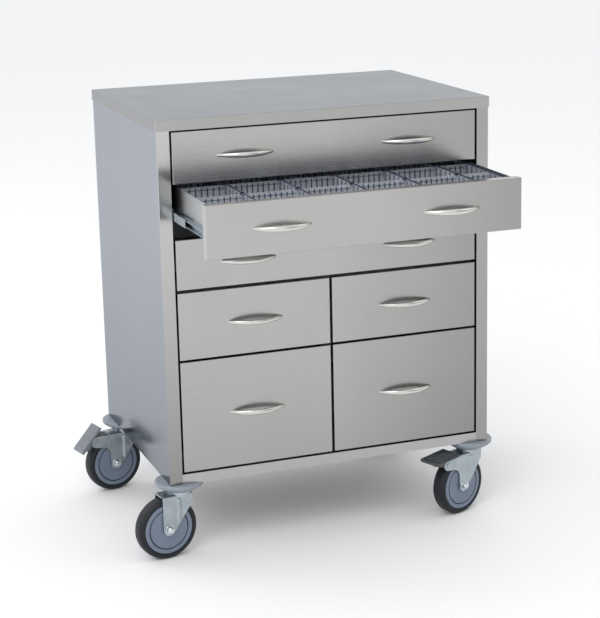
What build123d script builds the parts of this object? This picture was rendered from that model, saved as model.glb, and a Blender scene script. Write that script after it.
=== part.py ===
from build123d import *

import math
import os

os.makedirs("parts", exist_ok=True)

# Medication cart on four swivel casters. The front faces -Y, +X is to the right of a person facing the front,
# +Z is up and the floor is z = 0. All sizes in mm.

# Cabinet
WIDTH = 680.0
DEPTH = 490.0
CABINET_BOTTOM = 155.0
TOTAL_HEIGHT = 870.0
SHEET = 1.5
POST_WIDTH = 25.0
RAIL_HEIGHT = 20.0
FRAME_DEPTH = 20.0
RIM_HEIGHT = 22.0
TOP_OVERHANG = 2.0
BASE_SHEET = 3.0

# Members hidden behind the drawer fronts
RECESS = 25.0
MIDDLE_RAIL_LOW = 538.0
MIDDLE_RAIL_HIGH = 558.0
UPRIGHT_WIDTH = 30.0

# Drawer fronts: bottom and top edge of each row above the cabinet's bottom
ROWS = {
    1: (591.4, 690.0),
    2: (488.8, 587.4),
    3: (386.9, 484.8),
    4: (248.9, 381.5),
    5: (23.7, 244.9),
}
FRONT_THICKNESS = 19.0
FRONT_SHEET = 1.5
SIDE_GAP = 4.0
MIDDLE_GAP = 5.0
PULLED_OUT = 203.0

# Drawer boxes and ball-bearing slides
BOX_SHEET = 1.2
BOX_LENGTH = 440.0
SLIDE_SPACE = 13.0
SLIDE_HEIGHT = 20.0
SLIDE_LENGTH = 436.0
PARTITION_WIDTH = 24.0
BOX_LIFT = {1: 33.0, 2: 33.0, 3: 33.0, 4: 20.0, 5: 20.0}

# Bow handles. The bow is drawn a little past its feet and cut off flush with the front.
HANDLE_LENGTH = 112.0
HANDLE_REACH = 25.0
HANDLE_OFFSET = 167.6
HANDLE_SECTIONS = 9
FOOT_OVERRUN = 1.05
FOOT_SPREAD = 1.053

# Casters
WHEEL_R = 62.5
WHEEL_HALF = 15.0
CASTER_INSET_X = 27.0
CASTER_INSET_Y = 33.0
TRAIL = 33.0
KINGPIN_R = 6.0
AXLE_R = 4.0
PIVOT_S = 79.0
PIVOT_Z = 117.0
PEDAL_TILT = 42.0
CASTERS = {
    "front_left": (-1, -1, -170.0, False, 0.0),
    "front_right": (1, -1, -158.0, True, 0.0),
    "rear_left": (-1, 1, -167.0, True, PEDAL_TILT),
    "rear_right": (1, 1, -172.0, False, 0.0),
}

HALF_W = WIDTH / 2
HALF_D = DEPTH / 2
FRONT_Y = -HALF_D
INNER_X = HALF_W - POST_WIDTH
UNDERSIDE = TOTAL_HEIGHT - SHEET

nodes = {}


def block(x0, x1, y0, y1, z0, z1):
    """A box between two corners."""
    centre = Pos((x0 + x1) / 2, (y0 + y1) / 2, (z0 + z1) / 2)
    return centre * Box(abs(x1 - x0), abs(y1 - y0), abs(z1 - z0))


def plate_xz(face, y0, y1):
    """A profile drawn in x and z, given thickness from y0 to y1."""
    return extrude(Plane.XZ.offset(-y1) * face, amount=y1 - y0)


def keep(name, *solids):
    """Store the solids that make up one named node."""
    flat = []
    for item in solids:
        flat.extend(item.solids())
    nodes[name] = flat


# ---------------------------------------------------------------- cabinet shell


def worktop():
    """Folded pan with a rounded top edge."""
    x = HALF_W + TOP_OVERHANG
    y = HALF_D + TOP_OVERHANG
    pan = block(-x, x, -y, y, TOTAL_HEIGHT - RIM_HEIGHT, TOTAL_HEIGHT)
    pan = fillet(pan.edges().filter_by(Axis.Z), 3.0)
    pan = fillet(pan.faces().sort_by(Axis.Z)[-1].edges(), 1.4)
    x -= SHEET
    y -= SHEET
    return pan - block(-x, x, -y, y, TOTAL_HEIGHT - RIM_HEIGHT - 1, UNDERSIDE)


def side_panel(side):
    """Side skin whose front edge is folded into the front post."""
    x = side * HALF_W
    inner = side * INNER_X
    skin = block(x, x - side * SHEET, FRONT_Y, HALF_D, CABINET_BOTTOM, UNDERSIDE)
    face = block(x, inner, FRONT_Y, FRONT_Y + SHEET, CABINET_BOTTOM, UNDERSIDE)
    back_fold = block(inner, inner + side * SHEET, FRONT_Y, FRONT_Y + FRAME_DEPTH, CABINET_BOTTOM, UNDERSIDE)
    panel = skin + face + back_fold
    corner = panel.edges().filter_by(Axis.Z).filter_by(
        lambda e: abs(e.center().X - x) < 0.01 and abs(e.center().Y - FRONT_Y) < 0.01
    )
    return fillet(corner, 1.3)


def bottom_rail():
    """Front rail folded to a channel that opens to the back."""
    top = CABINET_BOTTOM + RAIL_HEIGHT
    rail = block(-INNER_X, INNER_X, FRONT_Y, FRONT_Y + FRAME_DEPTH, CABINET_BOTTOM, top)
    hollow = block(
        -INNER_X - 1, INNER_X + 1, FRONT_Y + SHEET, FRONT_Y + FRAME_DEPTH + 1, CABINET_BOTTOM + SHEET, top - SHEET
    )
    return rail - hollow


def base_panel():
    """Floor of the cabinet with the four caster stem holes."""
    x = HALF_W - SHEET
    panel = block(-x, x, FRONT_Y + FRAME_DEPTH, HALF_D - SHEET, CABINET_BOTTOM, CABINET_BOTTOM + BASE_SHEET)
    for sx, sy, heading, braked, tilt in CASTERS.values():
        px, py = caster_place(sx, sy)
        panel -= Pos(px, py, CABINET_BOTTOM) * Cylinder(KINGPIN_R, 20)
    return panel


def caster_place(sx, sy):
    """Plan position of a caster's swivel axis."""
    return sx * (HALF_W - CASTER_INSET_X), sy * (HALF_D - CASTER_INSET_Y)


def middle_rail():
    """Recessed channel behind the gap between the third and fourth rows."""
    low, high = MIDDLE_RAIL_LOW, MIDDLE_RAIL_HIGH
    y = FRONT_Y + RECESS
    rail = block(-INNER_X, INNER_X, y, y + RECESS, low, high)
    return rail - block(-INNER_X - 1, INNER_X + 1, y + SHEET, y + RECESS + 1, low + SHEET, high - SHEET)


def centre_partition():
    """Hollow upright wall between the half-width drawers."""
    x = PARTITION_WIDTH / 2
    y0 = FRONT_Y + RECESS
    y1 = HALF_D - SHEET
    wall = block(-x, x, y0, y1, CABINET_BOTTOM + BASE_SHEET, MIDDLE_RAIL_LOW)
    x -= SHEET
    return wall - block(-x, x, y0 + SHEET, y1 - SHEET, CABINET_BOTTOM, MIDDLE_RAIL_LOW + 2)


def slide_upright(side, y0, y1):
    """Hat-shaped upright between a side skin and the slides."""
    x = side * (HALF_W - SHEET)
    inner = side * INNER_X
    upright = block(x, inner, y0, y1, CABINET_BOTTOM + 17, UNDERSIDE)
    hollow = block(
        x + side, inner + side * SHEET, y0 + SHEET, y1 - SHEET, CABINET_BOTTOM, TOTAL_HEIGHT + 5
    )
    return upright - hollow


# ---------------------------------------------------------------- drawers


def box_outline(row, column):
    """Outer x range of a drawer box, left to right."""
    if column == 0:
        return -INNER_X + SLIDE_SPACE, INNER_X - SLIDE_SPACE
    left, right = SLIDE_SPACE + PARTITION_WIDTH / 2, INNER_X - SLIDE_SPACE
    if column < 0:
        return -right, -left
    return left, right


def front_outline(column):
    """x range of a drawer front."""
    edge = INNER_X - SIDE_GAP
    if column == 0:
        return -edge, edge
    if column < 0:
        return -edge, -MIDDLE_GAP / 2
    return MIDDLE_GAP / 2, edge


def row_heights(row):
    low, high = ROWS[row]
    return CABINET_BOTTOM + low, CABINET_BOTTOM + high


def box_heights(row):
    low, high = row_heights(row)
    return low + BOX_LIFT[row], high - 1.5


def drawer_front(row, column, pull):
    """Folded pan: flat face with four returns."""
    x0, x1 = front_outline(column)
    z0, z1 = row_heights(row)
    y0 = FRONT_Y - pull
    y1 = y0 + FRONT_THICKNESS
    pan = block(x0, x1, y0, y1, z0, z1)
    pan = fillet(pan.faces().sort_by(Axis.Y)[0].edges(), 1.2)
    t = FRONT_SHEET
    return pan - block(x0 + t, x1 - t, y0 + t, y1 + 1, z0 + t, z1 - t)


def drawer_box(row, column, pull):
    """Open sheet box behind the front."""
    x0, x1 = box_outline(row, column)
    z0, z1 = box_heights(row)
    y0 = FRONT_Y + FRONT_THICKNESS - pull
    y1 = y0 + BOX_LENGTH
    t = BOX_SHEET
    return block(x0, x1, y0, y1, z0, z1) - block(x0 + t, x1 - t, y0 + t, y1 - t, z0 + t, z1 + 1)


def handle(x, z, pull):
    """Bow handle, thick in the middle and drawn out to pointed feet."""
    half = HANDLE_LENGTH / 2 / FOOT_SPREAD
    reach = HANDLE_REACH - 4.0
    radius = (half**2 + reach**2) / (2 * reach)
    sweep = math.asin(half / radius)
    sections = []
    for i in range(HANDLE_SECTIONS):
        t = FOOT_OVERRUN * (2 * i / (HANDLE_SECTIONS - 1) - 1)
        angle = t * sweep
        point = (radius * math.sin(angle), radius - reach - radius * math.cos(angle), 0)
        tangent = (math.cos(angle), math.sin(angle), 0)
        plane = Plane(origin=point, x_dir=(0, 0, 1), z_dir=tangent)
        tall = 5.4 * (1 - 0.45 * t * t)
        thick = 3.6 * (1 - 0.32 * t * t)
        sections.append(plane * Ellipse(tall, thick))
    bow = loft(sections)
    bow -= block(-80, 80, 0, 30, -20, 20)
    return Pos(x, FRONT_Y - pull, z) * bow


def channel(wall, side, u0, u1, half_height, flange, z, y0, y1, thick=1.2, open_out=False):
    """Slide channel. u is measured from the drawer box's side face outwards; side is the outward x sign."""
    body = block(wall + side * u0, wall + side * u1, y0, y1, z - half_height, z + half_height)
    inner = half_height - flange
    if open_out:
        cut = block(wall + side * (u0 + thick), wall + side * (u1 + 1), y0 - 1, y1 + 1, z - inner, z + inner)
    else:
        cut = block(wall + side * (u0 - 1), wall + side * (u1 - thick), y0 - 1, y1 + 1, z - inner, z + inner)
    return body - cut


def slide_sides(row, column):
    """The two box faces that carry slides, with their outward x sign."""
    x0, x1 = box_outline(row, column)
    return ((x0, -1), (x1, 1))


def slide_height(row):
    return box_heights(row)[0] + SLIDE_HEIGHT / 2


def cabinet_members(row, column):
    y0 = FRONT_Y + FRONT_THICKNESS + 3
    return [
        channel(wall, side, 4.0, SLIDE_SPACE, SLIDE_HEIGHT / 2, 1.2, slide_height(row), y0, y0 + SLIDE_LENGTH)
        for wall, side in slide_sides(row, column)
    ]


def middle_members(row, shift):
    y0 = FRONT_Y + FRONT_THICKNESS + 5 - shift
    return [
        channel(wall, side, 5.0, 11.2, 8.2, 1.2, slide_height(row), y0, y0 + SLIDE_LENGTH - 8)
        for wall, side in slide_sides(row, 0)
    ]


def drawer_members(row, column, pull):
    y0 = FRONT_Y + FRONT_THICKNESS + 2 - pull
    wide = column == 0
    reach, tall = (9.4, 6.2) if wide else (11.0, 8.2)
    return [
        channel(wall, side, 0.0, reach, tall, 1.2, slide_height(row), y0, y0 + SLIDE_LENGTH - 4, open_out=True)
        for wall, side in slide_sides(row, column)
    ]


DRAWERS = {
    "drawer_1": (1, 0, 0.0),
    "drawer_2": (2, 0, PULLED_OUT),
    "drawer_3": (3, 0, 0.0),
    "drawer_4_left": (4, -1, 0.0),
    "drawer_4_right": (4, 1, 0.0),
    "drawer_5_left": (5, -1, 0.0),
    "drawer_5_right": (5, 1, 0.0),
}

keep("worktop", worktop())
keep("left_side_panel", side_panel(-1))
keep("right_side_panel", side_panel(1))
keep("back_panel", block(-HALF_W + SHEET, HALF_W - SHEET, HALF_D - SHEET, HALF_D, CABINET_BOTTOM, UNDERSIDE))
keep("base_panel", base_panel())
keep("bottom_rail", bottom_rail())
keep("middle_rail", middle_rail())
keep("centre_partition", centre_partition())
keep(
    "slide_uprights",
    *[slide_upright(s, y0, y0 + UPRIGHT_WIDTH) for s in (-1, 1) for y0 in (FRONT_Y + RECESS, HALF_D - 65)],
)

members = []
for name, (row, column, pull) in DRAWERS.items():
    keep(name + "_front", drawer_front(row, column, pull))
    keep(name + "_box", drawer_box(row, column, pull))
    z = sum(row_heights(row)) / 2
    x0, x1 = front_outline(column)
    centres = (-HANDLE_OFFSET, HANDLE_OFFSET) if column == 0 else ((x0 + x1) / 2,)
    keep(name + "_handles" if column == 0 else name + "_handle", *[handle(x, z, pull) for x in centres])
    keep(name + "_slides", *drawer_members(row, column, pull))
    members += cabinet_members(row, column)
    if column == 0:
        keep(name + "_middle_slides", *middle_members(row, pull / 2))
keep("cabinet_slides", *members)

# ---------------------------------------------------------------- tray insert in the open drawer

TRAY_WALL = 1.6
TRAY_HEIGHT = 60.0
TRAY_LINES = (-204.0, -95.0, 14.0, 123.0, 232.0)
CROSS_LINES = (96.0, 200.0, 304.0)

tray_x = INNER_X - SLIDE_SPACE - BOX_SHEET - 0.8
tray_y0 = FRONT_Y + FRONT_THICKNESS - PULLED_OUT + BOX_SHEET + 0.8
tray_y1 = tray_y0 + BOX_LENGTH - 2 * BOX_SHEET - 1.6
tray_z = box_heights(2)[0] + BOX_SHEET

tray = block(-tray_x, tray_x, tray_y0, tray_y1, tray_z, tray_z + TRAY_HEIGHT)
cells = [-tray_x] + [x for x in TRAY_LINES] + [tray_x]
dividers = []
for left, right in zip(cells[:-1], cells[1:]):
    a = left + (TRAY_WALL if left == -tray_x else TRAY_WALL / 2)
    b = right - (TRAY_WALL if right == tray_x else TRAY_WALL / 2)
    tray -= block(a, b, tray_y0 + TRAY_WALL, tray_y1 - TRAY_WALL, tray_z + TRAY_WALL, tray_z + TRAY_HEIGHT + 1)
    for line in CROSS_LINES:
        y = tray_y0 + line
        dividers.append(block(a + 0.2, b - 0.2, y - 0.8, y + 0.8, tray_z + TRAY_WALL, tray_z + TRAY_HEIGHT - 3))
keep("drawer_2_tray", tray)
keep("drawer_2_dividers", *dividers)

# ---------------------------------------------------------------- casters
# Built with the swivel axis on Z, the wheel trailing along +X and its axle along Y, then turned to its heading.

HEAD_LOW = 128.0
HEAD_TOP = 131.0
LEG_OUT = 18.5
LEG_IN = 16.0
RIB_S = 11.5
RIB_R = 6.5
RIB_PROUD = 2.2
PEDAL_HALF = {"front_right": 25.0, "rear_left": 21.0}


def tangent_point(px, py, cx, cy, r, sign):
    """Point where a line from (px, py) touches a circle."""
    distance = math.hypot(px - cx, py - cy)
    angle = math.atan2(py - cy, px - cx) + sign * math.acos(r / distance)
    return cx + r * math.cos(angle), cy + r * math.sin(angle)


def leg_outline(braked):
    """Side view of the fork legs in x and z."""
    touch = tangent_point(-19, 112, TRAIL, WHEEL_R, 13, 1)
    trailing = TRAIL + 13
    points = [(-19, HEAD_TOP), (-19, 112), touch, (TRAIL, WHEEL_R), (trailing, WHEEL_R), (trailing, HEAD_TOP)]
    outline = make_face(Polyline(*points, close=True)) + Pos(TRAIL, WHEEL_R) * Circle(13)
    if braked:
        arm = [
            (20, 128.6),
            (60, 128.6),
            (PIVOT_S, PIVOT_Z + 11.5),
            (PIVOT_S, PIVOT_Z - 11.5),
            (60, 102.5),
            (51, 98),
            (trailing, 88),
            (20, 88),
        ]
        outline += make_face(Polyline(*arm, close=True))
        outline += Pos(PIVOT_S, PIVOT_Z) * Circle(11.5)
    return outline


def fork(braked):
    """Pressed steel fork: channel section cut to the side outline, ribs and swivel head."""
    outline = leg_outline(braked)
    outer = Pos(0, HEAD_TOP / 2) * RectangleRounded(2 * LEG_OUT, HEAD_TOP, 4)
    outer += Pos(0, HEAD_TOP / 4) * Rectangle(2 * LEG_OUT, HEAD_TOP / 2)
    inner = Pos(0, HEAD_LOW / 2) * Rectangle(2 * LEG_IN, HEAD_LOW)
    section = extrude(Plane.YZ.offset(-30) * (outer - inner), amount=140)
    body = section & plate_xz(outline, -30, 30)
    if braked:
        body -= block(TRAIL + 15, 120, -LEG_IN, LEG_IN, 80, 140)
    rib_area = outline & (Pos(RIB_S, 98) * Rectangle(14, 50))
    for side in (-1, 1):
        swell = Pos(RIB_S, side * (LEG_OUT + RIB_PROUD - RIB_R), 98) * Cylinder(RIB_R, 60)
        body += swell & plate_xz(rib_area, *sorted((side * (LEG_OUT - 0.5), side * (LEG_OUT + 4))))
    body += Pos(0, 0, (HEAD_LOW + HEAD_TOP) / 2) * Cylinder(24, HEAD_TOP - HEAD_LOW)
    head = Pos(0, 0, 133.5) * Cylinder(25, 5)
    body += fillet(head.edges().sort_by(Axis.Z)[-1], 1.8)
    body -= Pos(0, 0, 130) * Cylinder(KINGPIN_R + 0.05, 20)
    body -= Pos(TRAIL, 0, WHEEL_R) * Rot(90, 0, 0) * Cylinder(AXLE_R, 80)
    solids = [body]
    shank = Pos(TRAIL, 0, WHEEL_R) * Rot(90, 0, 0) * Cylinder(AXLE_R, 2 * LEG_OUT + 14)
    bolt_head = plate_xz(Pos(TRAIL, WHEEL_R) * RegularPolygon(7.2, 6), -LEG_OUT - 5.5, -LEG_OUT)
    bolt_head = fillet(bolt_head.faces().sort_by(Axis.Y)[0].edges(), 0.8)
    shank -= block(0, 80, -60, -LEG_OUT - 2, 0, 120)
    nut = plate_xz(Pos(TRAIL, WHEEL_R) * (RegularPolygon(7.4, 6) - Circle(AXLE_R)), LEG_OUT, LEG_OUT + 6)
    solids += [shank + bolt_head, nut]
    if braked:
        for y in (-1, 1):
            body -= Pos(PIVOT_S, 17 * y, PIVOT_Z) * Rot(90, 0, 0) * Cylinder(3, 8)
        solids[0] = body
        pin = Pos(PIVOT_S, 0, PIVOT_Z) * Rot(90, 0, 0) * Cylinder(3, 2 * LEG_OUT)
        for y in (-1, 1):
            pin += Pos(PIVOT_S, y * (LEG_OUT + 0.8), PIVOT_Z) * Rot(90, 0, 0) * Cylinder(5, 1.6)
        solids.append(pin)
    return solids


def wheel_hub():
    """Wheel body with thread guards: grooved discs on both faces and a running bore."""
    profile = [
        (AXLE_R + 0.06, 0),
        (AXLE_R + 0.06, WHEEL_HALF + 0.6),
        (9, WHEEL_HALF + 0.6),
        (11, WHEEL_HALF - 1.2),
        (36, WHEEL_HALF - 0.4),
        (39.6, WHEEL_HALF - 0.4),
        (40.2, WHEEL_HALF - 2.2),
        (41.8, WHEEL_HALF - 2.2),
        (42.4, WHEEL_HALF - 0.2),
        (49.5, WHEEL_HALF - 0.2),
        (50.6, WHEEL_HALF - 1.0),
        (50.6, WHEEL_HALF - 1.8),
        (47, WHEEL_HALF - 1.8),
        (47, 0),
    ]
    mirrored = [(r, -y) for r, y in reversed(profile[1:-1])]
    face = make_face(Polyline(*profile, *mirrored, close=True))
    return Pos(TRAIL, 0, WHEEL_R) * Rot(90, 0, 0) * revolve(Plane.XZ * face, Axis.Z)


def tyre():
    """Rubber tyre with a crowned tread."""
    profile = [
        (47, 0),
        (47, WHEEL_HALF - 1.8),
        (51.2, WHEEL_HALF - 1.8),
        (52.2, WHEEL_HALF - 0.2),
        (54, WHEEL_HALF),
        (57.5, WHEEL_HALF - 0.6),
        (60, WHEEL_HALF - 2.4),
        (61.7, WHEEL_HALF - 5.0),
        (WHEEL_R, WHEEL_HALF - 9.0),
    ]
    mirrored = [(r, -y) for r, y in reversed(profile[1:])]
    face = make_face(Polyline(*profile, *mirrored, close=True))
    return Pos(TRAIL, 0, WHEEL_R) * Rot(90, 0, 0) * revolve(Plane.XZ * face, Axis.Z)


def pedal(tilt, half):
    """Ribbed brake pedal on a hinge pin between the fork arms: flat tread plate with a tapered lip under it."""
    inner, outer = (49.0, 135.5), (115.0, 130.6)
    slope = (outer[1] - inner[1]) / (outer[0] - inner[0])
    plate = [
        (inner[0], inner[1] - 4),
        (inner[0], inner[1] - 0.8),
        (inner[0] + 0.8, inner[1]),
        outer,
        (outer[0] + 1.8, outer[1] - 1),
        (outer[0] + 2.4, outer[1] - 4.0),
        (outer[0] + 1.2, outer[1] - 6.5),
        (96, 126.2),
        (92, 128.4),
    ]
    body = plate_xz(make_face(Polyline(*plate, close=True)), -half, half)
    body = fillet(body.edges().filter_by(Axis.Z), 1.2)
    for i in range(10):
        x = inner[0] + 5 + 6 * i
        z = inner[1] + slope * (x - inner[0])
        body += plate_xz(Pos(x, z) * Rectangle(2.6, 2.4), -half + 1.5, half - 1.5)
    lip = [(93, 131), (93, 123), (97, 119.5), (104, 119.5), (112, 127.5), (112, 131)]
    body += plate_xz(make_face(Polyline(*lip, close=True)), -half + 3, half - 3)
    web = [(72, PIVOT_Z), (70, 131.5), (100, 131), (100, 121), (86, PIVOT_Z)]
    body += plate_xz(make_face(Polyline(*web, close=True)), -15.2, 15.2)
    body += plate_xz(Pos(PIVOT_S, PIVOT_Z) * Circle(7), -15.4, 15.4)
    body -= plate_xz(Pos(PIVOT_S, PIVOT_Z) * Circle(3.05), -40, 40)
    pivot = Pos(PIVOT_S, 0, PIVOT_Z)
    return pivot * Rot(0, tilt, 0) * pivot.inverse() * body


def bumper():
    """Wall bumper disc with a coned underside."""
    profile = [
        (KINGPIN_R, 141),
        (26.1, 141),
        (26.1, 136.8),
        (28.5, 136.3),
        (33, 138),
        (40.5, 142.5),
        (45.7, 146),
        (47.6, 148),
        (48, 150),
        (48, 153),
        (47.2, 154.6),
        (45.8, CABINET_BOTTOM),
        (KINGPIN_R, CABINET_BOTTOM),
    ]
    return revolve(Plane.XZ * make_face(Polyline(*profile, close=True)), Axis.Z)


def stem():
    """Kingpin with its lower head, upper race cup and the nut above the cabinet floor."""
    solid = Pos(0, 0, 144) * Cylinder(KINGPIN_R, 41)
    solid += Pos(0, 0, 125.4) * Cylinder(9, 4.4)
    cup = Pos(0, 0, 138.7) * Cylinder(26, 4.6)
    solid += fillet(cup.edges().sort_by(Axis.Z)[0], 1.5)
    nut = Pos(0, 0, CABINET_BOTTOM + 3) * extrude(RegularPolygon(10.5, 6) - Circle(KINGPIN_R), 8)
    return [solid, nut]


bumpers = []
stems = []
for name, (sx, sy, heading, braked, tilt) in CASTERS.items():
    px, py = caster_place(sx, sy)
    place = Pos(px, py, 0) * Rot(0, 0, heading)
    keep(name + "_fork", *[place * s for s in fork(braked)])
    keep(name + "_wheel", place * wheel_hub())
    keep(name + "_tyre", place * tyre())
    if braked:
        keep(name + "_brake_pedal", place * pedal(tilt, PEDAL_HALF[name]))
    bumpers.append(place * bumper())
    stems += [place * s for s in stem()]
keep("corner_bumpers", *bumpers)
keep("caster_stems", *stems)

# The origin is under the middle of the overall bounding box, at floor level.
boxes = [s.bounding_box() for solids in nodes.values() for s in solids]
middle_x = (min(b.min.X for b in boxes) + max(b.max.X for b in boxes)) / 2
middle_y = (min(b.min.Y for b in boxes) + max(b.max.Y for b in boxes)) / 2
shift = Pos(-middle_x, -middle_y, 0)
for name, solids in nodes.items():
    export_step(Compound([shift * s for s in solids]), "parts/" + name + ".step")
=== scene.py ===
import math

import bmesh
import bpy
from mathutils import Matrix, Vector


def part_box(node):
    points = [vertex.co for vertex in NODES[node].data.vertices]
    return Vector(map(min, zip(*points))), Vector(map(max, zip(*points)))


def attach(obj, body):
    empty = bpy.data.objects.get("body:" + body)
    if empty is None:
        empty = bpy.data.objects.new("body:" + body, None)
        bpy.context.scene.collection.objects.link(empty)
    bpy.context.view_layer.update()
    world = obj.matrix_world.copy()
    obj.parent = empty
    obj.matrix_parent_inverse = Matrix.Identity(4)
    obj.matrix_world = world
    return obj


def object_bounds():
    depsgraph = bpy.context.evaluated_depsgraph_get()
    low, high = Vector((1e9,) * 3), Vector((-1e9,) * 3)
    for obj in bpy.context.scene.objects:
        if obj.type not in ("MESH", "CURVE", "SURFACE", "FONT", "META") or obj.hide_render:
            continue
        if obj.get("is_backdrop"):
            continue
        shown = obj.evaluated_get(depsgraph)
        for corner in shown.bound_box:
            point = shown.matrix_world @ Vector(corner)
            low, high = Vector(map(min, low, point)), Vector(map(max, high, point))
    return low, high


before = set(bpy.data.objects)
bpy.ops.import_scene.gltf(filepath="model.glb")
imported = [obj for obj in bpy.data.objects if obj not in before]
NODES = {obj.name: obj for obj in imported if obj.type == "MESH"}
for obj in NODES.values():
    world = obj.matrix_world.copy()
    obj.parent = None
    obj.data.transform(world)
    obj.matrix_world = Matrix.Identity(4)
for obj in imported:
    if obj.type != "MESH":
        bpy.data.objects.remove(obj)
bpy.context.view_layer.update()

# The cabinet's middle, faces and heights, in metres
HALF_WIDTH = 0.34
HALF_DEPTH = 0.245
CART_HEIGHT = 0.87
CABINET_BOTTOM = 0.155
top_low, top_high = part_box("worktop")
CX = (top_low.x + top_high.x) / 2
CY = (top_low.y + top_high.y) / 2
FRONT_Y = CY - HALF_DEPTH
BACK_Y = CY + HALF_DEPTH
TOP_Z = top_high.z

# ---------------------------------------------------------------- node helpers

# Ranges of a noise's value: most of the surface, and its brighter patches
NOISE = (0.3, 0.7)
PATCHES = (0.35, 0.7)
WHOLE = (0.0, 1.0)
DARK = (0.0, 0.0, 0.0)


def material(name, colour, metallic, roughness, **sockets):
    """A principled material. Extra sockets are set by their names with underscores for spaces."""
    m = bpy.data.materials.new(name)
    m.use_nodes = True
    tree = m.node_tree
    shader = next(n for n in tree.nodes if n.type == "BSDF_PRINCIPLED")
    shader.inputs["Base Color"].default_value = (*colour, 1)
    shader.inputs["Metallic"].default_value = metallic
    shader.inputs["Roughness"].default_value = roughness
    for key, value in sockets.items():
        shader.inputs[key.replace("_", " ")].default_value = value
    return m, tree, shader


def noise(tree, scale, detail=3.0, rough=0.55, stretch=None):
    """Noise in object coordinates. stretch scales X, Y and Z before the noise."""
    coord = tree.nodes.new("ShaderNodeTexCoord")
    n = tree.nodes.new("ShaderNodeTexNoise")
    n.inputs["Scale"].default_value = scale
    n.inputs["Detail"].default_value = detail
    n.inputs["Roughness"].default_value = rough
    if stretch:
        mapping = tree.nodes.new("ShaderNodeMapping")
        mapping.inputs["Scale"].default_value = stretch
        tree.links.new(coord.outputs["Object"], mapping.inputs["Vector"])
        tree.links.new(mapping.outputs["Vector"], n.inputs["Vector"])
    else:
        tree.links.new(coord.outputs["Object"], n.inputs["Vector"])
    return n.outputs["Fac"]


def axes(tree, output):
    """The X, Y and Z of a texture coordinate."""
    coord = tree.nodes.new("ShaderNodeTexCoord")
    split = tree.nodes.new("ShaderNodeSeparateXYZ")
    tree.links.new(coord.outputs[output], split.inputs["Vector"])
    return split.outputs


def remap(tree, value, source, target):
    """Turns the source range into the target range, and clamps to it."""
    r = tree.nodes.new("ShaderNodeMapRange")
    r.inputs["From Min"].default_value = source[0]
    r.inputs["From Max"].default_value = source[1]
    r.inputs["To Min"].default_value = target[0]
    r.inputs["To Max"].default_value = target[1]
    tree.links.new(value, r.inputs["Value"])
    return r.outputs["Result"]


def blend_colour(tree, factor, a, b):
    """Goes from colour a to colour b. Each is a tuple or another node's output."""
    mix = tree.nodes.new("ShaderNodeMix")
    mix.data_type = "RGBA"
    tree.links.new(factor, mix.inputs["Factor"])
    for socket, value in ((mix.inputs[6], a), (mix.inputs[7], b)):
        if isinstance(value, tuple):
            socket.default_value = (*value, 1)
        else:
            tree.links.new(value, socket)
    return mix.outputs[2]


def combine(tree, a, b, operation="ADD"):
    node = tree.nodes.new("ShaderNodeMath")
    node.operation = operation
    tree.links.new(a, node.inputs[0])
    tree.links.new(b, node.inputs[1])
    return node.outputs[0]


def bump(tree, shader, height, strength, distance):
    b = tree.nodes.new("ShaderNodeBump")
    b.inputs["Strength"].default_value = strength
    b.inputs["Distance"].default_value = distance
    tree.links.new(height, b.inputs["Height"])
    tree.links.new(b.outputs["Normal"], shader.inputs["Normal"])


def shade(colour, factor):
    return tuple(min(1.0, c * factor) for c in colour)


# ---------------------------------------------------------------- materials

# Brushed steel: noise scales along and across the grain, and the broader bands' share of them
ALONG_GRAIN = 1.6
ACROSS_GRAIN = 1300
BAND_SCALE = 0.15
HAIR_SHARE = 0.6
BAND_SHARE = 0.4
GRAIN_BUMP = 0.035
GRAIN_DEPTH = 0.00003
GRAIN_HIGHLIGHT = 0.6
GRAIN_ROUGHNESS = (-0.03, 0.04)
SMUDGE_SCALE = 7.0
SMUDGE_HAZE = 0.12
SMUDGE_SHADE = 0.86
SMUDGE_ROUGHNESS = 0.06

# Mottling of zinc, moulded plastic and clear plastic: noise scales, tones and changes of roughness
ZINC_CLOUD = 45.0
ZINC_GRIT = 700.0
ZINC_DARK = 0.86
ZINC_LIGHT = 1.06
ZINC_SMOOTHER = 0.06
ZINC_ROUGHER = 0.1
ZINC_BUMP = 0.2
ZINC_DEPTH = 0.00008
PLASTIC_CLOUD = 28.0
PLASTIC_ROUGHNESS = 0.07
PLASTIC_DEPTH = 0.0001
CLEAR_CLOUD = 60.0
CLEAR_SHADE = 0.8
CLEAR_SMOOTHER = 0.7
CLEAR_ROUGHER = 1.4
CLEAR_IOR = 1.49


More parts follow.
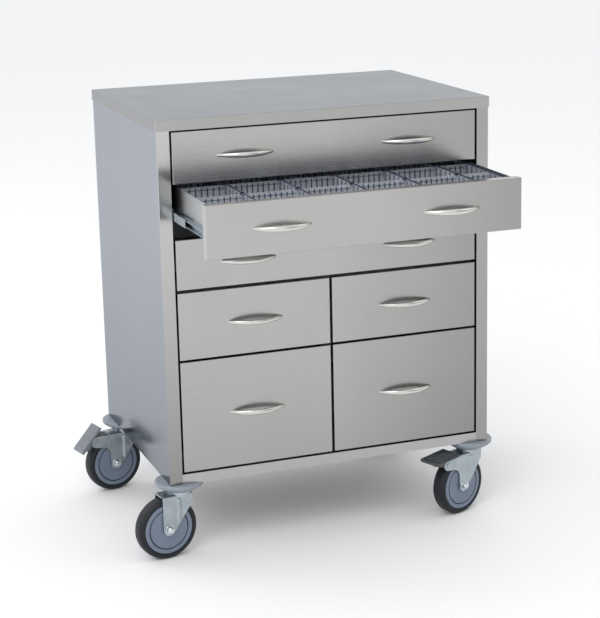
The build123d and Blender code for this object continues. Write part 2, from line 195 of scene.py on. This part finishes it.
def brushed(
    name, colour, grain, roughness, contrast=0.03, depth=GRAIN_DEPTH, painted_shade=None, painted_face_tone=None, **sockets
):
    """Brushed stainless steel with grain along one axis, soft smudges, uneven polish in its roughness, and
    painted light and shade.

    fade = (amount, x share) paints shade into the colour: it darkens the tone towards the right and the
    floor.
    other = (axis, from, to, colour) paints how light falls on another face of the same sheet: the tone
    turns into that colour where that coordinate goes from-to.
    """
    m, tree, shader = material(name, colour, 1.0, roughness, **sockets)
    fine = tuple(ALONG_GRAIN if axis == grain else ACROSS_GRAIN for axis in "XYZ")
    broad = tuple(v * BAND_SCALE for v in fine)
    hair = noise(tree, 1.0, detail=4.0, rough=0.6, stretch=fine)
    band = noise(tree, 1.0, detail=3.0, rough=0.5, stretch=broad)
    smudge = noise(tree, SMUDGE_SCALE, detail=4.0)
    hairs = remap(tree, hair, NOISE, (0.0, HAIR_SHARE))
    bands = remap(tree, band, NOISE, (0.0, BAND_SHARE))
    grainy = combine(tree, hairs, bands)
    light = shade(colour, 1 + contrast * GRAIN_HIGHLIGHT)
    tone = blend_colour(tree, grainy, shade(colour, 1 - contrast), light)
    haze = remap(tree, smudge, PATCHES, (0.0, SMUDGE_HAZE))
    tone = blend_colour(tree, haze, tone, shade(colour, SMUDGE_SHADE))
    place = axes(tree, "Object")
    # Painted light and shade: a face of the sheet gets its own tone for how the light falls on it.
    if painted_face_tone:
        axis, start, end, painted_tone = painted_face_tone
        tone = blend_colour(tree, remap(tree, place[axis], (start, end), WHOLE), tone, painted_tone)
    # Painted shade: the tone darkens towards the cart's right side and towards the floor.
    if painted_shade:
        amount, share = painted_shade
        across = remap(tree, place["X"], (CX, CX + HALF_WIDTH), (0.0, share))
        down = remap(tree, place["Z"], (CART_HEIGHT, CABINET_BOTTOM), (0.0, 1 - share))
        painted_darkening = remap(tree, combine(tree, across, down), WHOLE, (0.0, amount))
        tone = blend_colour(tree, painted_darkening, tone, DARK)
    tree.links.new(tone, shader.inputs["Base Color"])
    polish = remap(tree, grainy, WHOLE, [roughness + change for change in GRAIN_ROUGHNESS])
    rough = combine(tree, polish, remap(tree, smudge, PATCHES, (0.0, SMUDGE_ROUGHNESS)))
    tree.links.new(rough, shader.inputs["Roughness"])
    bump(tree, shader, grainy, GRAIN_BUMP, depth)
    return m


def zinc(name, colour, roughness):
    """Zinc plated pressed steel, faintly mottled."""
    m, tree, shader = material(name, colour, 1.0, roughness)
    cloud = noise(tree, ZINC_CLOUD, detail=5.0, rough=0.6)
    grit = noise(tree, ZINC_GRIT, rough=0.6)
    patches = remap(tree, cloud, PATCHES, WHOLE)
    tone = blend_colour(tree, patches, shade(colour, ZINC_DARK), shade(colour, ZINC_LIGHT))
    tree.links.new(tone, shader.inputs["Base Color"])
    rough = remap(tree, cloud, NOISE, (roughness - ZINC_SMOOTHER, roughness + ZINC_ROUGHER))
    tree.links.new(rough, shader.inputs["Roughness"])
    bump(tree, shader, grit, ZINC_BUMP, ZINC_DEPTH)
    return m


def plastic(name, colour, roughness, grit_scale=900.0, grit=0.25, mottle=0.12, **sockets):
    """Moulded plastic or rubber: fine surface grit, slight colour variation and rubbed patches."""
    m, tree, shader = material(name, colour, 0.0, roughness, **sockets)
    cloud = noise(tree, PLASTIC_CLOUD, detail=4.0, rough=0.6)
    fine = noise(tree, grit_scale, rough=0.6)
    patches = remap(tree, cloud, PATCHES, WHOLE)
    tone = blend_colour(tree, patches, shade(colour, 1 - mottle), shade(colour, 1 + mottle))
    tree.links.new(tone, shader.inputs["Base Color"])
    rough = remap(tree, cloud, NOISE, (roughness - PLASTIC_ROUGHNESS, roughness + PLASTIC_ROUGHNESS))
    tree.links.new(rough, shader.inputs["Roughness"])
    bump(tree, shader, fine, grit, PLASTIC_DEPTH)
    return m


def clear(name, colour, alpha, roughness):
    """Clear moulded plastic with a slightly cloudy look."""
    m, tree, shader = material(name, colour, 0.0, roughness, Alpha=alpha, IOR=CLEAR_IOR)
    cloud = noise(tree, CLEAR_CLOUD, rough=0.5)
    tone = blend_colour(tree, remap(tree, cloud, NOISE, WHOLE), shade(colour, CLEAR_SHADE), colour)
    tree.links.new(tone, shader.inputs["Base Color"])
    rough = remap(tree, cloud, NOISE, (roughness * CLEAR_SMOOTHER, roughness * CLEAR_ROUGHER))
    tree.links.new(rough, shader.inputs["Roughness"])
    return m


# The worktop's rim and the side panels' front edges have another tone than their wide faces: painted light
# and shade for how light falls on each face of the same sheet
RIM_EDGE = (TOP_Z - 0.0016, TOP_Z - 0.0003)
SIDE_EDGE = (FRONT_Y + 0.0012, FRONT_Y + 0.0004)
WORKTOP = brushed(
    "worktop_steel",
    (0.45, 0.445, 0.44),
    "X",
    0.26,
    painted_face_tone=("Z", *RIM_EDGE, (0.325, 0.345, 0.365)),
    Specular_Tint=(0.75, 0.76, 0.78, 1),
)
# The left side panel's tone darkens towards the floor: painted shade.
LEFT_SIDE = brushed(
    "left_side_steel",
    (0.50, 0.515, 0.55),
    "Z",
    0.13,
    painted_shade=(0.52, 0.0),
    painted_face_tone=("Y", *SIDE_EDGE, (0.57, 0.57, 0.56)),
    Specular_Tint=(0.72, 0.74, 0.78, 1),
)
# The right side panel gets a darker copy of the left side's steel: painted shade for the cart's dimmer
# right side, darkening further towards the floor.
RIGHT_SIDE = brushed(
    "right_side_steel",
    (0.40, 0.425, 0.48),
    "Z",
    0.16,
    painted_shade=(0.20, 0.0),
    painted_face_tone=("Y", *SIDE_EDGE, (0.40, 0.40, 0.385)),
)
RAIL = brushed("rail_steel", (0.44, 0.44, 0.45), "X", 0.22)
# The drawer fronts' tone darkens towards the right and the floor: painted shade.
FRONT = brushed("front_steel", (0.50, 0.495, 0.49), "X", 0.22, contrast=0.02, painted_shade=(0.46, 0.5))
# The cabinet's inner parts get a darker copy of the steel: painted shade for the shaded inside.
INNER = brushed("inner_steel", (0.26, 0.25, 0.24), "Z", 0.42)
BOX = brushed("box_steel", (0.46, 0.47, 0.48), "Y", 0.28)
BACK = brushed("back_steel", (0.50, 0.51, 0.53), "Z", 0.32)
NICKEL = brushed("satin_nickel", (0.64, 0.63, 0.605), "X", 0.20, contrast=0.04, depth=0.00002)
ZINC = zinc("zinc_plate", (0.42, 0.475, 0.515), 0.26)
BOLT = zinc("bolt_plate", (0.74, 0.77, 0.79), 0.18)
SLIDE_ZINC = zinc("slide_zinc", (0.42, 0.49, 0.54), 0.24)
TYRE = plastic("tyre_rubber", (0.012, 0.014, 0.018), 0.5, 500.0, 0.35, Specular_IOR_Level=0.3)
HUB = plastic("hub_plastic", (0.145, 0.18, 0.245), 0.34, 1200.0, 0.12, mottle=0.06)
RING = plastic("ring_plastic", (0.010, 0.013, 0.022), 0.45)
BUMPER = plastic("bumper_plastic", (0.235, 0.265, 0.305), 0.42, 800.0, 0.2, mottle=0.06)
PEDAL = plastic("pedal_plastic", (0.045, 0.052, 0.06), 0.36, grit=0.3)
# Lighter plastic on the tops of the pedal's ribs: painted highlight.
RIB_TOP_HIGHLIGHT = plastic("pedal_rib_painted_highlight", (0.16, 0.175, 0.19), 0.34, grit=0.3)
# The rear-left pedal gets a lighter copy of the pedal plastic: painted light on its tilted tread, which
# faces the light.
PEDAL_PAINTED_LIGHT = plastic("pedal_plastic_painted_light", (0.17, 0.19, 0.21), 0.36, grit=0.3)
BLACK = plastic("black_plastic", (0.012, 0.013, 0.015), 0.5)
CLIP = plastic("clip_plastic", (0.03, 0.04, 0.085), 0.3)
CLEAR = clear("clear_plastic", (0.74, 0.78, 0.86), 0.34, 0.10)
# Painted shade: the ribs' dark colour stands in for how light bends through clear ribs
RIBS = clear("rib_plastic", (0.045, 0.055, 0.10), 0.78, 0.14)
# Painted shade for the clear walls' dark-looking top edges
RIMS = clear("rim_plastic", (0.035, 0.042, 0.08), 0.88, 0.14)

# The first words found in a CAD node's name give its material
FINISH = (
    ("worktop", WORKTOP),
    ("left_side_panel", LEFT_SIDE),
    ("right_side_panel", RIGHT_SIDE),
    ("bottom_rail", RAIL),
    ("back_panel", BACK),
    ("base_panel", INNER),
    ("middle_rail", INNER),
    ("centre_partition", INNER),
    ("slide_uprights", INNER),
    ("_front", FRONT),
    ("_box", BOX),
    ("slides", SLIDE_ZINC),
    ("handle", NICKEL),
    ("_fork", ZINC),
    ("caster_stems", ZINC),
    ("_tyre", TYRE),
    ("_wheel", HUB),
    ("rear_left_brake_pedal", PEDAL_PAINTED_LIGHT),
    ("front_right_brake_pedal", PEDAL),
    ("corner_bumpers", BUMPER),
    ("drawer_2_tray", CLEAR),
    ("drawer_2_dividers", CLEAR),
)
for name, node in NODES.items():
    finish = next(mat for words, mat in FINISH if words in name)
    for held in node.material_slots:
        held.material = finish

# ---------------------------------------------------------------- mesh helpers

BLOCK_FACES = ((0, 1, 3, 2), (4, 6, 7, 5), (0, 4, 5, 1), (2, 3, 7, 6), (0, 2, 6, 4), (1, 5, 7, 3))
SHARP_ANGLE = math.radians(40)
FINE_BEVEL = 0.0002
SMALL_BEVEL = 0.0004
SHOE_BEVEL = 0.0006
DOME_ROWS = 4
DOME_TIP = 0.0001
DOME_SUNK = 0.0002


def piece(name, verts, faces, mat, body, smooth=False, bevel=0.0):
    """A mesh piece in the row frame that rides on a body."""
    mesh = bpy.data.meshes.new(name)
    mesh.from_pydata([tuple(v) for v in verts], [], faces)
    bm = bmesh.new()
    bm.from_mesh(mesh)
    bmesh.ops.recalc_face_normals(bm, faces=bm.faces)
    bm.to_mesh(mesh)
    bm.free()
    for p in mesh.polygons:
        p.use_smooth = smooth
    o = bpy.data.objects.new(name, mesh)
    bpy.context.scene.collection.objects.link(o)
    mesh.materials.append(mat)
    if bevel:
        mod = o.modifiers.new("bevel", "BEVEL")
        mod.width = bevel
        mod.segments = 2
        mod.limit_method = "ANGLE"
        mod.angle_limit = SHARP_ANGLE
    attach(o, body)


class Parts:
    """Collects many small shapes into one mesh."""

    def __init__(self):
        self.verts = []
        self.faces = []

    def block(self, x0, x1, y0, y1, z0, z1, place=None):
        n = len(self.verts)
        corners = [Vector((x, y, z)) for x in (x0, x1) for y in (y0, y1) for z in (z0, z1)]
        self.verts += [place @ c if place else c for c in corners]
        self.faces += [[n + i for i in face] for face in BLOCK_FACES]

    def lathe(self, profile, place, steps=64, closed=True):
        """Revolves (radius, height) points about Z, then places them."""
        n, rows = len(self.verts), len(profile)
        for i in range(steps):
            a = 2 * math.pi * i / steps
            self.verts += [place @ Vector((r * math.cos(a), r * math.sin(a), h)) for r, h in profile]
        for i in range(steps):
            near, far = n + i * rows, n + (i + 1) % steps * rows
            for k in range(rows if closed else rows - 1):
                q = (k + 1) % rows
                self.faces.append([near + k, far + k, far + q, near + q])

    def prism(self, outline, y0, y1, place):
        """Extrudes an (x, z) outline from y0 to y1."""
        n, count = len(self.verts), len(outline)
        for y in (y0, y1):
            self.verts += [place @ Vector((x, y, z)) for x, z in outline]
        self.faces.append([n + i for i in range(count)])
        self.faces.append([n + count + i for i in reversed(range(count))])
        for i in range(count):
            j = (i + 1) % count
            self.faces.append([n + i, n + j, n + count + j, n + count + i])

    def dome(self, place, radius, height, steps=16):
        """A low rivet head on the XY plane."""
        angles = [math.pi / 2 * i / DOME_ROWS for i in range(DOME_ROWS)]
        crown = [(radius * math.cos(t), height * math.sin(t)) for t in angles]
        self.lathe([(radius, -DOME_SUNK), *crown, (DOME_TIP, height)], place, steps, closed=False)

    def make(self, name, mat, body, smooth=False, bevel=0.0):
        piece(name, self.verts, self.faces, mat, body, smooth, bevel)


# ---------------------------------------------------------------- tray details in the open drawer

# Dividers from the cabinet's middle, cross dividers from the tray's front wall
WALL = 0.0016
DIVIDERS = (-0.204, -0.095, 0.014, 0.123, 0.232)
CROSS_DIVIDERS = (0.096, 0.200, 0.304)

# Upright ribs on the walls' faces, and the rungs that join them on the crosswise walls
RIB_MARGIN = 0.004
RIB_PROUD = 0.0009
DIVIDER_RIB_PITCH = 0.021
DIVIDER_RIB_HALF = 0.0009
CROSS_RIB_PITCH = 0.0105
CROSS_RIB_HALF = 0.0010
CROSS_RIB_DROP = 0.002
RUNG_HEIGHTS = (0.014, 0.030, 0.046)
RUNG_MARGIN = 0.002
RUNG_PROUD = 0.0006
RUNG_HALF = 0.0005

# Dark strips on the walls' top edges: painted shade for the dark look that clear wall edges get from the
# light
RIM_HALF = 0.0012
RIM_PROUD = 0.0006
DIVIDER_RIM_DEPTH = 0.0018
END_RIM_DEPTH = 0.0012

# A clip is a small saddle over the crossing of two dividers
CLIP_HALF_LENGTH = 0.0045
CLIP_SETBACK = 0.002
CLIP_OUTLINE = (
    (-0.0030, -0.0050),
    (-0.0030, 0.0008),
    (-0.0020, 0.0020),
    (0.0020, 0.0020),
    (0.0030, 0.0008),
    (0.0030, -0.0050),
    (0.0016, -0.0050),
    (0.0016, 0.0004),
    (-0.0016, 0.0004),
    (-0.0016, -0.0050),
)

low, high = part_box("drawer_2_tray")
divider_lines = [CX + v for v in DIVIDERS]
cross_lines = [low.y + v for v in CROSS_DIVIDERS]
walls = [low.x + WALL] + divider_lines + [high.x - WALL]
rib_low = low.z + RIB_MARGIN
rib_high = high.z - RIB_MARGIN
cross_rib_high = rib_high - CROSS_RIB_DROP

# (face, direction it looks in) of each wall along Y and along X
divider_faces = [(walls[0], 1)]
for x in divider_lines:
    divider_faces += [(x - WALL / 2, -1), (x + WALL / 2, 1)]
divider_faces.append((walls[-1], -1))
cross_faces = [(low.y + WALL, 1), (high.y - WALL, -1)] + [(y - WALL / 2, -1) for y in cross_lines]

# The ribs and rungs get the dark rib material: painted shade.
ribs = Parts()
for face, sign in divider_faces:
    for i in range(1, int((high.y - low.y) / DIVIDER_RIB_PITCH)):
        y = low.y + WALL + i * DIVIDER_RIB_PITCH
        if y < high.y - RIB_MARGIN:
            proud = face + sign * RIB_PROUD
            ribs.block(face, proud, y - DIVIDER_RIB_HALF, y + DIVIDER_RIB_HALF, rib_low, rib_high)
for a, b in zip(walls[:-1], walls[1:]):
    steps = int((b - a) / CROSS_RIB_PITCH)
    for face, sign in cross_faces:
        proud = face + sign * RIB_PROUD
        for i in range(1, steps):
            x = a + (b - a) * i / steps
            ribs.block(x - CROSS_RIB_HALF, x + CROSS_RIB_HALF, face, proud, rib_low, cross_rib_high)
        proud = face + sign * RUNG_PROUD
        for height in RUNG_HEIGHTS:
            z = rib_low + height
            ribs.block(a + RUNG_MARGIN, b - RUNG_MARGIN, face, proud, z - RUNG_HALF, z + RUNG_HALF)
ribs.make("tray_ribs", RIBS, "drawer_2")

rims = Parts()
rim_top = high.z + RIM_PROUD
front_wall, back_wall = low.y + WALL, high.y - WALL
for x in walls:
    rims.block(x - RIM_HALF, x + RIM_HALF, front_wall, back_wall, high.z - DIVIDER_RIM_DEPTH, rim_top)
for y in (front_wall, back_wall):
    rims.block(low.x, high.x, y - RIM_HALF, y + RIM_HALF, high.z - END_RIM_DEPTH, rim_top)
rims.make("tray_rims", RIMS, "drawer_2", bevel=SMALL_BEVEL)

clips = Parts()
for x in divider_lines:
    for y in cross_lines:
        crossing = Matrix.Translation((x, y + CLIP_SETBACK, high.z))
        clips.prism(CLIP_OUTLINE, -CLIP_HALF_LENGTH, CLIP_HALF_LENGTH, crossing)
clips.make("divider_clips", CLIP, "drawer_2", bevel=SMALL_BEVEL)

# ---------------------------------------------------------------- casters

# Each caster: which side in X and Y, the way it points in degrees, and its pedal's (tilt, half rib length)
CASTERS = {
    "front_left": (-1, -1, -170.0, None),
    "front_right": (1, -1, -158.0, (0.0, 0.0235)),
    "rear_left": (-1, 1, -167.0, (42.0, 0.0195)),
    "rear_right": (1, 1, -172.0, None),
}
CASTER_X = 0.313
CASTER_Y = 0.212
TRAIL = 0.033
AXLE_Z = 0.0625

# (radius, distance from the wheel's middle plane), except the cap, whose height is above the bolt's end
RING_PROFILE = ((0.0403, 0.0126), (0.0403, 0.0139), (0.0417, 0.0139), (0.0417, 0.0126))
WASHER_PROFILE = ((0.0045, 0.0185), (0.0045, 0.0196), (0.0088, 0.0196), (0.0092, 0.0192), (0.0092, 0.0185))
CAP_PROFILE = (
    (0.0067, -0.001),
    (0.0067, 0.0008),
    (0.0058, 0.0020),
    (0.0035, 0.0028),
    (0.0004, 0.0030),
    (0.0004, 0.0012),
)
BOLT_END = {-1: 0.0240, 1: 0.0245}

# The pedal's hinge, and the line that its tread's surface follows
PEDAL_HINGE = Matrix.Translation((0.079, 0, 0.117))
TREAD_START = 0.054
TREAD_Z = 0.1351
TREAD_SLOPE = -4.9 / 66
# Lighter strips on the tops of the pedal's ribs carry a painted highlight
HIGHLIGHT_STRIPS = 10
HIGHLIGHT_PITCH = 0.006
HIGHLIGHT_HALF = 0.0009
HIGHLIGHT_LOW = 0.0008
HIGHLIGHT_HIGH = 0.0015

# The brake shoe is an arc over the tyre
SHOE_INNER = 0.0637
SHOE_OUTER = 0.0685
SHOE_HALF_WIDTH = 0.0145
SHOE_ANGLES = [math.radians(a) for a in range(60, 77, 4)]


def hub_trim(name, base):
    """The rings on the wheel's faces, and the washers and bolt caps outside the fork."""
    axle = base @ Matrix.Translation((TRAIL, 0, AXLE_Z))
    rings = Parts()
    washers = Parts()
    for side in (-1, 1):
        out = axle @ Matrix.Rotation(math.radians(-90 * side), 4, "X")
        rings.lathe(RING_PROFILE, out)
        washers.lathe(WASHER_PROFILE, out)
        washers.lathe([(radius, BOLT_END[side] + height) for radius, height in CAP_PROFILE], out)
    rings.make(name + "_hub_rings", RING, name + "_wheel")
    washers.make(name + "_axle_washers", BOLT, name + "_swivel", bevel=FINE_BEVEL)


def brake_trim(name, base, tilt, half):
    """Painted highlights on the tops of the pedal's ribs, and the shoe between the fork's sides."""
    hinge = base @ PEDAL_HINGE @ Matrix.Rotation(math.radians(tilt), 4, "Y") @ PEDAL_HINGE.inverted()
    # Painted highlight: lighter strips laid on the ribs' tops.
    highlight_strips = Parts()
    for i in range(HIGHLIGHT_STRIPS):
        x = TREAD_START + HIGHLIGHT_PITCH * i
        z = TREAD_Z + TREAD_SLOPE * (x - TREAD_START)
        highlight_strips.block(x - HIGHLIGHT_HALF, x + HIGHLIGHT_HALF, -half, half, z + HIGHLIGHT_LOW, z + HIGHLIGHT_HIGH, hinge)
    highlight_strips.make(name + "_rib_painted_highlight", RIB_TOP_HIGHLIGHT, name + "_brake", bevel=FINE_BEVEL)
    shoe = Parts()
    arcs = [(SHOE_INNER, a) for a in SHOE_ANGLES] + [(SHOE_OUTER, a) for a in reversed(SHOE_ANGLES)]
    outline = [(TRAIL + r * math.cos(a), AXLE_Z + r * math.sin(a)) for r, a in arcs]
    shoe.prism(outline, -SHOE_HALF_WIDTH, SHOE_HALF_WIDTH, base)
    shoe.make(name + "_brake_shoe", BLACK, name + "_swivel", bevel=SHOE_BEVEL)


for name, (sx, sy, heading, brake) in CASTERS.items():
    turn = Matrix.Rotation(math.radians(heading), 4, "Z")
    base = Matrix.Translation((CX + sx * CASTER_X, CY + sy * CASTER_Y, 0)) @ turn
    hub_trim(name, base)
    if brake:
        brake_trim(name, base, *brake)

# ---------------------------------------------------------------- rivets on the back panel

RIVET_RADIUS = 0.0032
RIVET_HEIGHT = 0.0012
SIDE_RIVETS_X = 0.326
SIDE_RIVETS = 6
SIDE_RIVETS_LOW = CABINET_BOTTOM + 0.04
SIDE_RIVETS_RUN = 0.623
LOW_RIVETS_X = (-0.2, 0.0, 0.2)
LOW_RIVETS_Z = 0.17

rivets = Parts()
rows = []
for side in (-1, 1):
    for i in range(SIDE_RIVETS):
        z = SIDE_RIVETS_LOW + i * SIDE_RIVETS_RUN / (SIDE_RIVETS - 1)
        rows.append((side * SIDE_RIVETS_X, z))
rows += [(x, LOW_RIVETS_Z) for x in LOW_RIVETS_X]
for x, z in rows:
    place = Matrix.Translation((CX + x, BACK_Y, z)) @ Matrix.Rotation(math.radians(-90), 4, "X")
    rivets.dome(place, RIVET_RADIUS, RIVET_HEIGHT)
rivets.make("back_rivets", NICKEL, "cabinet", smooth=True)

# ---------------------------------------------------------------- floor, light and camera

FLOOR_REACH = 60
FLOOR_CORNERS = [(x * FLOOR_REACH, y * FLOOR_REACH, 0) for x, y in ((-1, -1), (1, -1), (1, 1), (-1, 1))]
floor = bpy.data.meshes.new("floor")
floor.from_pydata(FLOOR_CORNERS, [], [(0, 1, 2, 3)])
floor_object = bpy.data.objects.new("floor", floor)
bpy.context.scene.collection.objects.link(floor_object)
pale = material("pale_floor", (0.88, 0.88, 0.88), 0.0, 0.8, Specular_IOR_Level=0.1)[0]
floor.materials.append(pale)
floor_object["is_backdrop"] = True

# A near-white studio, a little cooler to the left, with a dimmer part low on the front right
WARM_WHITE = (0.98, 0.97, 0.95)
COOL_WHITE = (0.93, 0.96, 1.02)
DIM_GREY = (0.20, 0.19, 0.18)
OVERHEAD_WHITE = (0.98, 0.99, 1.0)
STUDIO_STRENGTH = 1.06

world = bpy.data.worlds.new("studio")
bpy.context.scene.world = world
world.use_nodes = True
wt = world.node_tree
sky = wt.nodes["Background"]
facing = axes(wt, "Generated")
leftward = remap(wt, facing["X"], (-0.9, 0.4), (1.0, 0.0))
tone = blend_colour(wt, leftward, WARM_WHITE, COOL_WHITE)
rightward = remap(wt, facing["X"], (0.22, 0.52), WHOLE)
frontward = remap(wt, facing["Y"], (0.0, -0.5), WHOLE)
tone = blend_colour(wt, combine(wt, rightward, frontward, "MULTIPLY"), tone, DIM_GREY)
overhead = remap(wt, facing["Z"], (0.15, 0.8), WHOLE)
wt.links.new(blend_colour(wt, overhead, tone, OVERHEAD_WHITE), sky.inputs["Color"])
sky.inputs["Strength"].default_value = STUDIO_STRENGTH

# Each area light: place, the point it faces, size, watts and colour
LIGHTS = {
    "key": ((-2.6, -3.4, 4.2), (0, 0, 0.4), 3.0, 95, (1.0, 0.985, 0.96)),
    "fill": ((3.4, -2.2, 2.6), (0, 0, 0.5), 2.4, 12, (1.0, 0.98, 0.95)),
    "rim": ((-3.0, 2.6, 3.0), (0, 0, 0.5), 2.4, 25, (0.93, 0.96, 1.0)),
}
for name, (place, target, size, power, colour) in LIGHTS.items():
    data = bpy.data.lights.new(name, "AREA")
    data.shape = "SQUARE"
    data.size = size
    data.energy = power
    data.color = colour
    lamp = bpy.data.objects.new(name, data)
    lamp.location = place
    lamp.rotation_mode = "QUATERNION"
    lamp.rotation_quaternion = (Vector(target) - Vector(place)).to_track_quat("-Z", "Y")
    bpy.context.scene.collection.objects.link(lamp)

# The camera's place and its turns in radians
CAMERA_PLACE = (CX - 1.18250, CY - 3.35011, 1.34118)
YAW = 0.35822
PITCH = 0.24133
ROLL = -0.01972
camera_data = bpy.data.cameras.new("camera")
camera_data.lens = 101.94
camera_data.sensor_width = 36
camera_data.shift_x = -0.0342
camera_data.shift_y = -0.04
camera_data.clip_end = 200
camera = bpy.data.objects.new("camera", camera_data)
bpy.context.scene.collection.objects.link(camera)
forward = Vector((math.sin(YAW) * math.cos(PITCH), math.cos(YAW) * math.cos(PITCH), -math.sin(PITCH)))
right = Vector((math.cos(YAW), -math.sin(YAW), 0))
upward = right.cross(forward)
turned_right = right * math.cos(ROLL) + upward * math.sin(ROLL)
turned_up = -right * math.sin(ROLL) + upward * math.cos(ROLL)
turns = Matrix((turned_right, turned_up, -forward)).transposed()
camera.matrix_world = Matrix.Translation(CAMERA_PLACE) @ turns.to_4x4()
bpy.context.scene.camera = camera
bpy.context.scene.view_settings.view_transform = "Standard"

low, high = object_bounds()
